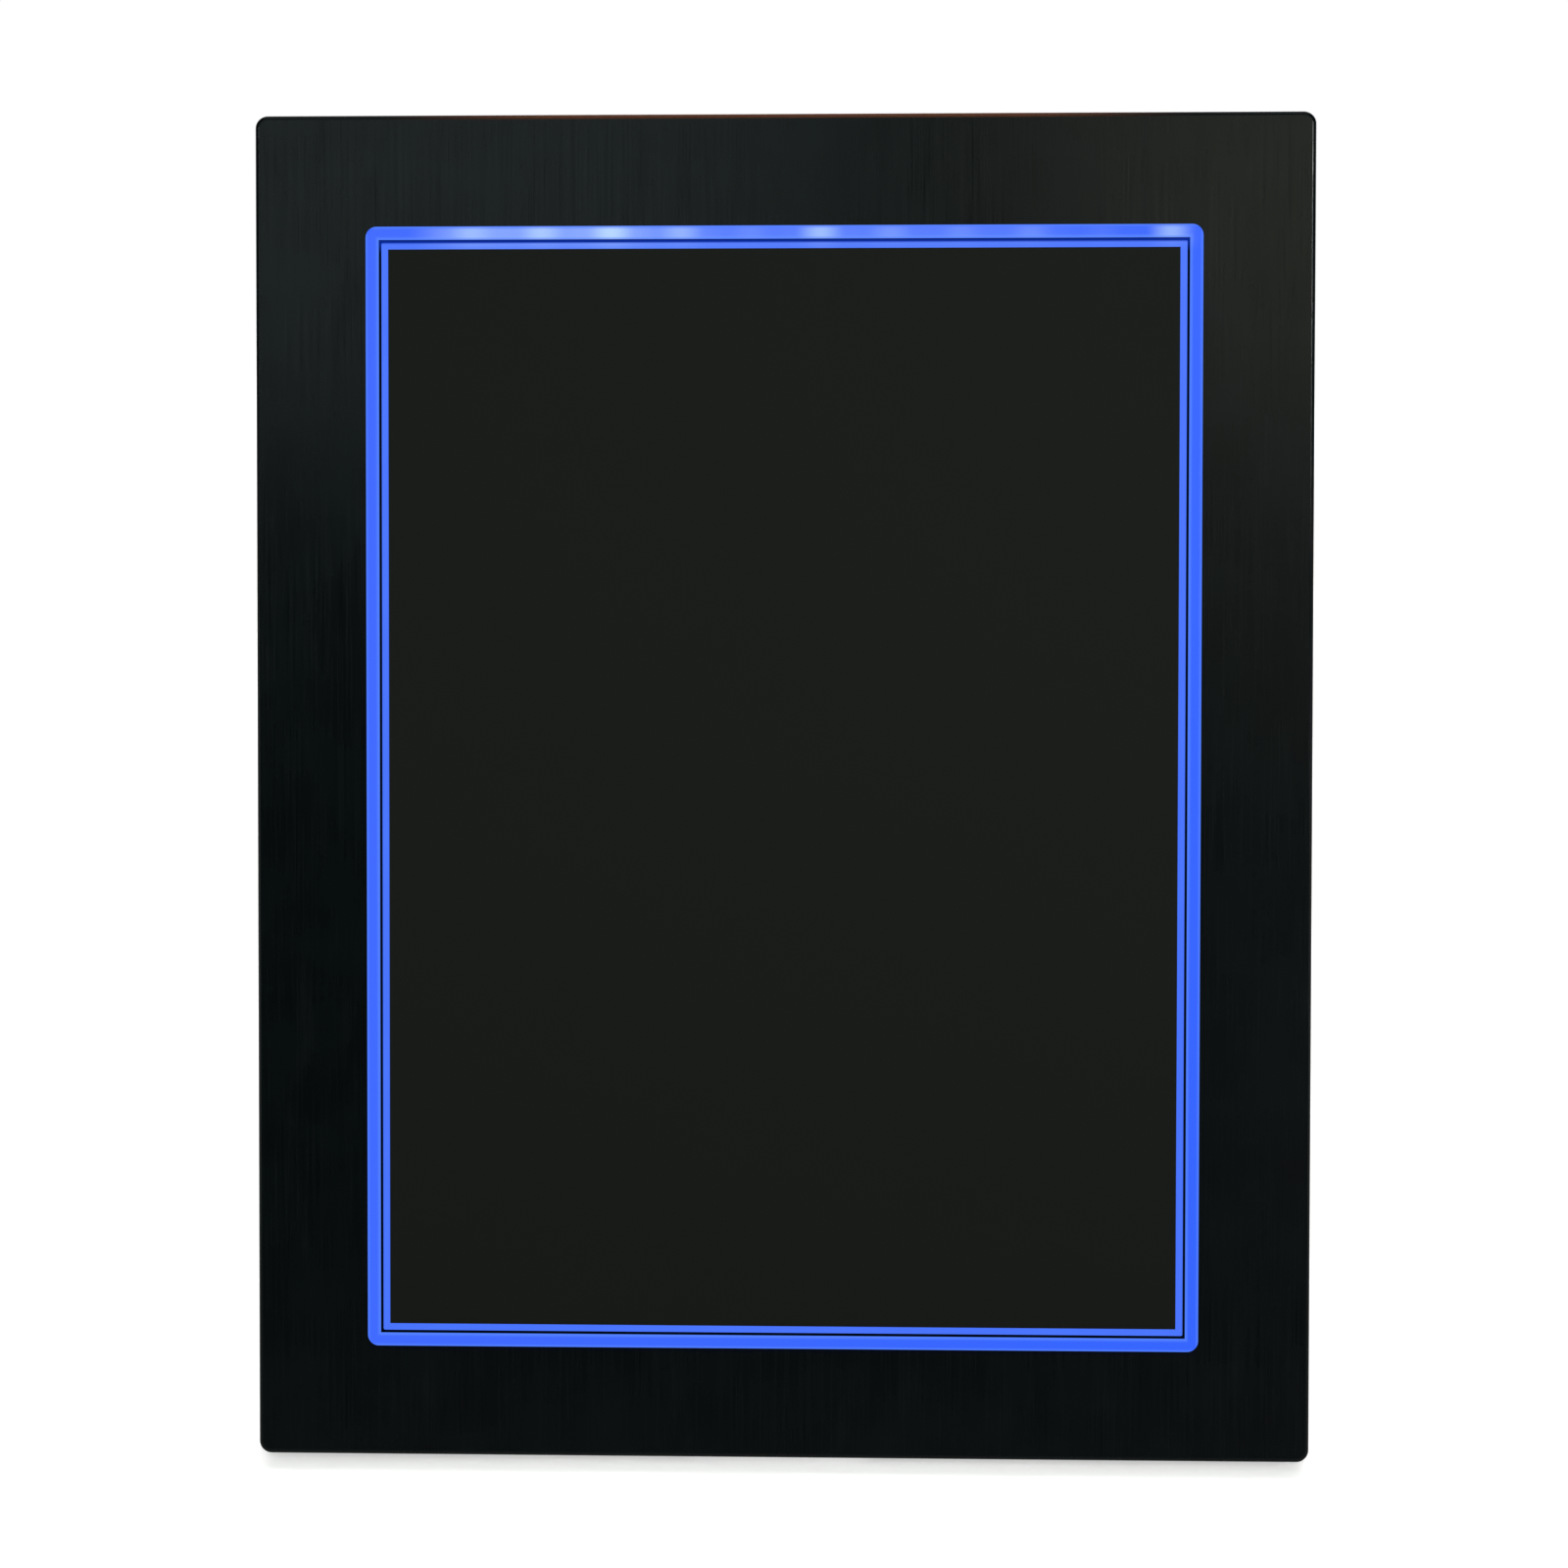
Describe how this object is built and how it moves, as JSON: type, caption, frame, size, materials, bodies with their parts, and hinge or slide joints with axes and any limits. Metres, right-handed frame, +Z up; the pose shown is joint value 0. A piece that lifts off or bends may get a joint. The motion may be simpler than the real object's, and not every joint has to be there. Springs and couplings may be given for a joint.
{
  "type": "led writing board",
  "caption": "Free-standing portrait writing board with a black brushed frame, a blue edge-lit ring round a black writing sheet, a folding rear leg and rear buttons.",
  "frame": {"origin": "on the floor, under the middle of the standing board's box", "axes": "+X across the board to the right as seen from the front, +Y from the front to the back, +Z up; the face leans back 15 degrees"},
  "size_m": [0.38, 0.144, 0.4735],
  "materials": {
    "face_black": "satin",
    "frame_plastic": "matte",
    "ring_glow": "satin",
    "seam_black": "matte",
    "guide_glow": "satin",
    "sheet_black": "matte",
    "reflector_white": "matte",
    "backing_fibreboard": "matte",
    "foam_grey": "matte",
    "wire_insulation": "satin",
    "cover_plastic": "matte",
    "screw_steel": "satin",
    "plate_steel": "satin",
    "bumper_rubber": "matte",
    "pad_rubber": "matte",
    "pin_steel": "polished",
    "leg_plastic": "matte",
    "circuit_green": "satin",
    "chip_black": "matte",
    "capacitor_can": "satin",
    "header_white": "satin",
    "jack_plastic": "satin",
    "contact_brass": "polished",
    "rail_aluminium": "satin",
    "led_board_white": "satin",
    "led_lens": "gloss",
    "plunger_plastic": "satin",
    "button_plastic": "satin"
  },
  "bodies": {
    "board": {"face_plate": "face_black", "front_frame": "frame_plastic", "diffuser_ring": "ring_glow", "seam_gasket": "seam_black", "light_guide": "guide_glow", "writing_sheet": "sheet_black", "reflector_sheet": "reflector_white", "backing_board": "backing_fibreboard", "foam_strips": "foam_grey", "corner_jumpers": "wire_insulation", "feed_wires": "wire_insulation", "rear_cover": "cover_plastic", "cover_screws": "screw_steel", "keyhole_plate_left": "plate_steel", "keyhole_plate_right": "plate_steel", "keyhole_screws": "screw_steel", "wall_bumpers": "bumper_rubber", "base_pad_left": "pad_rubber", "base_pad_right": "pad_rubber", "hinge_bracket": "plate_steel", "hinge_screws": "screw_steel", "hinge_pin": "pin_steel", "control_board": "circuit_green", "control_chip": "chip_black", "capacitor": "capacitor_can", "wire_header": "header_white", "switch_bodies": "chip_black", "board_screws": "screw_steel", "power_jack": "jack_plastic", "jack_contact": "contact_brass", "led_rail_top": "rail_aluminium", "led_board_top": "led_board_white", "led_chips_top": "led_lens", "led_rail_bottom": "rail_aluminium", "led_board_bottom": "led_board_white", "led_chips_bottom": "led_lens", "led_rail_left": "rail_aluminium", "led_board_left": "led_board_white", "led_chips_left": "led_lens", "led_rail_right": "rail_aluminium", "led_board_right": "led_board_white", "led_chips_right": "led_lens"},
    "leg": {"easel_leg": "leg_plastic", "leg_foot_pad": "pad_rubber"},
    "power_button": {"power_button": "button_plastic", "power_plunger": "plunger_plastic"},
    "colour_button": {"colour_button": "button_plastic", "colour_plunger": "plunger_plastic"},
    "brightness_button": {"brightness_button": "button_plastic", "brightness_plunger": "plunger_plastic"}
  },
  "joints": [
    {"name": "leg_fold", "type": "hinge", "parent": "board", "child": "leg", "pos_m": [0, 0.02118, 0.29184], "axis": [-1, 0, 0], "range_deg": [0, 22]},
    {"name": "power_press", "type": "slide", "parent": "board", "child": "power_button", "axis": [0, -0.9659, 0.2588], "range_m": [0, 0.0008], "stiffness_N_per_m": 1500},
    {"name": "colour_press", "type": "slide", "parent": "board", "child": "colour_button", "axis": [0, -0.9659, 0.2588], "range_m": [0, 0.0008], "stiffness_N_per_m": 1500},
    {"name": "brightness_press", "type": "slide", "parent": "board", "child": "brightness_button", "axis": [0, -0.9659, 0.2588], "range_m": [0, 0.0008], "stiffness_N_per_m": 1500}
  ]
}
